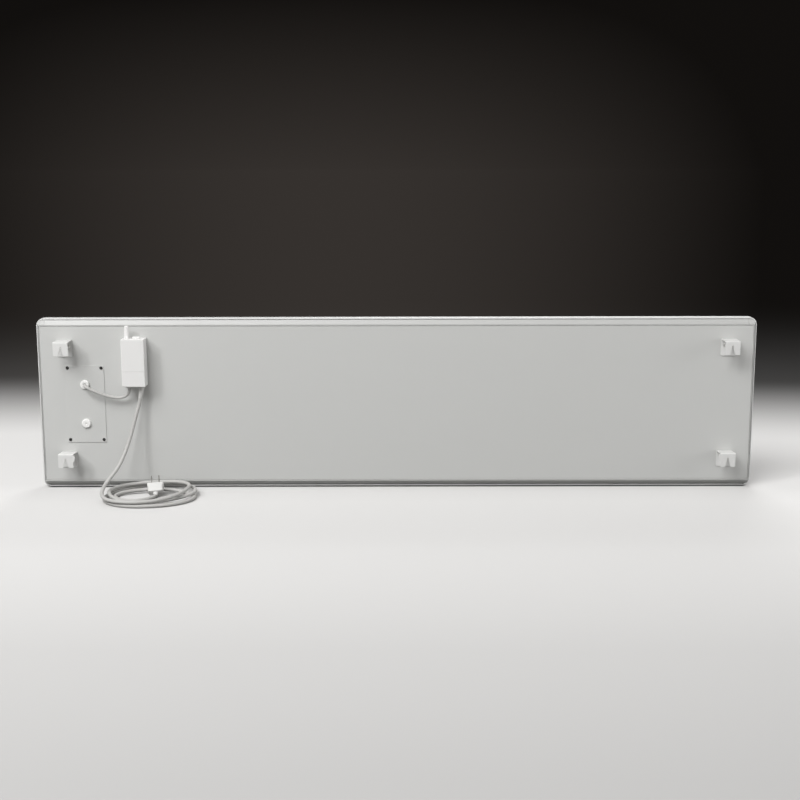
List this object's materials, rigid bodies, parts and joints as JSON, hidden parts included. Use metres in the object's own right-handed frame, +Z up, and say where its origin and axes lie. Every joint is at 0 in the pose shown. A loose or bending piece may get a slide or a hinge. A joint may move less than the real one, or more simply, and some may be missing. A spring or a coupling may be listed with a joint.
{
  "type": "infrared panel heater",
  "caption": "Long shallow infrared panel heater, rear view: bent wall hooks, screwed access plate, receiver box with antenna and button, and a coiled mains cord with plug.",
  "frame": {"origin": "centre of the object's footprint box (cords left out), at the height of the lower edge", "axes": "+X along the long side, to the right when the back is looked at; +Y out of the heated face; +Z up"},
  "size_m": [1.25, 0.1677, 0.3],
  "materials": {
    "white_coat": "fine matte powder coat",
    "tray_coat": "satin powder coat, whiter than the back plate",
    "hook_coat": "satin powder coat on bent sheet",
    "rail_coat": "satin powder coat on a formed profile",
    "corner_plastic": "moulded, coloured like the rails",
    "zinc_steel": "zinc-plated steel",
    "dark_screw": "black oxide",
    "grommet_rubber": "white soft rubber",
    "heating_laminate": "carbon-filled laminate",
    "copper": "copper strip",
    "insulation_felt": "pressed mineral fibre",
    "terminal_plastic": "natural polyamide",
    "black_plastic": "black phenolic and epoxy",
    "relay_plastic": "blue relay case",
    "circuit_laminate": "solder-masked laminate",
    "foam": "closed-cell foam tape",
    "box_plastic": "lightly textured white moulding",
    "button_plastic": "smooth white cap",
    "antenna_plastic": "soft white sleeve",
    "gland_plastic": "flexible moulded relief",
    "cord_sheath": "light grey sheath",
    "core_sheath": "coloured core insulation",
    "plug_plastic": "moulded plug",
    "blade_metal": "nickel-plated blades"
  },
  "bodies": {
    "heater": {"front_panel": "tray_coat", "heating_board": "heating_laminate", "busbars": "copper", "insulation_board": "insulation_felt", "top_rail": "rail_coat", "bottom_rail": "rail_coat", "left_rail": "rail_coat", "right_rail": "rail_coat", "corner_top_left": "corner_plastic", "corner_top_right": "corner_plastic", "corner_bottom_left": "corner_plastic", "corner_bottom_right": "corner_plastic", "back_plate": "white_coat", "left_strap": "zinc_steel", "right_strap": "zinc_steel", "upper_left_hook": "hook_coat", "upper_right_hook": "hook_coat", "lower_left_hook": "hook_coat", "lower_right_hook": "hook_coat", "hook_rivets": "zinc_steel", "access_plate": "white_coat", "access_screws": "dark_screw", "cable_grommet": "grommet_rubber", "blank_grommet": "grommet_rubber", "terminal_tray": "zinc_steel", "terminal_block": "terminal_plastic", "terminal_screws": "zinc_steel", "thermal_cutout": "black_plastic", "live_lead": "core_sheath", "neutral_lead": "core_sheath", "return_lead": "core_sheath", "earth_lead": "core_sheath", "earth_stud": "zinc_steel", "mounting_pad": "foam", "receiver_base": "box_plastic", "receiver_cover": "box_plastic", "terminal_cover": "box_plastic", "receiver_board": "circuit_laminate", "board_screws": "zinc_steel", "relay": "relay_plastic", "power_module": "black_plastic", "receiver_terminals": "terminal_plastic", "tact_switch": "black_plastic", "antenna": "antenna_plastic", "link_gland": "gland_plastic", "strain_relief": "gland_plastic", "link_cable": "cord_sheath", "link_cores": "core_sheath", "receiver_cores": "core_sheath", "mains_cord": "cord_sheath", "mains_coil": "cord_sheath", "plug_tail": "cord_sheath", "plug_body": "plug_plastic", "plug_blades": "blade_metal"},
    "push_button": {"push_button": "button_plastic", "tact_plunger": "button_plastic"}
  },
  "joints": [
    {"name": "button_press", "type": "slide", "parent": "heater", "child": "push_button", "axis": [0, 0, -1], "range_m": [0, 0.001], "stiffness_N_per_m": 1000, "springref_m": -0.001}
  ]
}
